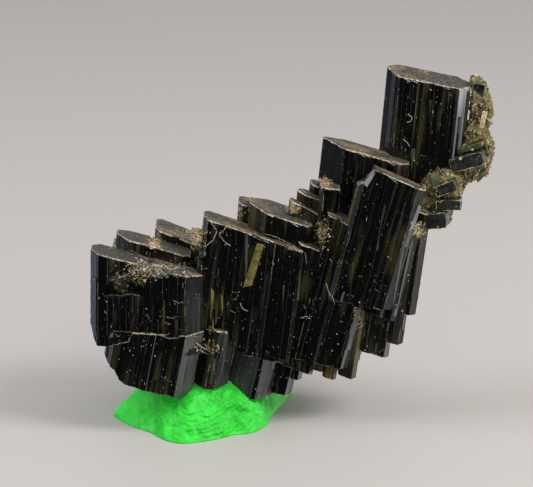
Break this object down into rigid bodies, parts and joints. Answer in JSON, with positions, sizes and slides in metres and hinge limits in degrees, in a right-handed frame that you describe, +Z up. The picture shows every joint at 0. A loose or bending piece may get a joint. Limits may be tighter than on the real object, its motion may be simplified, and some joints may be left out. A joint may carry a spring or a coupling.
{
  "type": "aegirine crystal specimen",
  "caption": "Stepped group of black prismatic aegirine crystals grown side by side, with a crust of rock at one end, standing in a lump of mounting putty.",
  "frame": {"origin": "under the middle of the whole object, on the surface that the putty stands on", "axes": "+Z up, +X along the steps towards the tallest crystal, -Y out of the front faces"},
  "size_m": [0.0404, 0.0144, 0.0358],
  "materials": {
    "crystal": "gloss",
    "crust": "matte",
    "putty": "satin"
  },
  "bodies": {
    "root": {"aegirine_crystals": "crystal", "matrix_crust": "crust", "putty": "putty"}
  },
  "joints": []
}
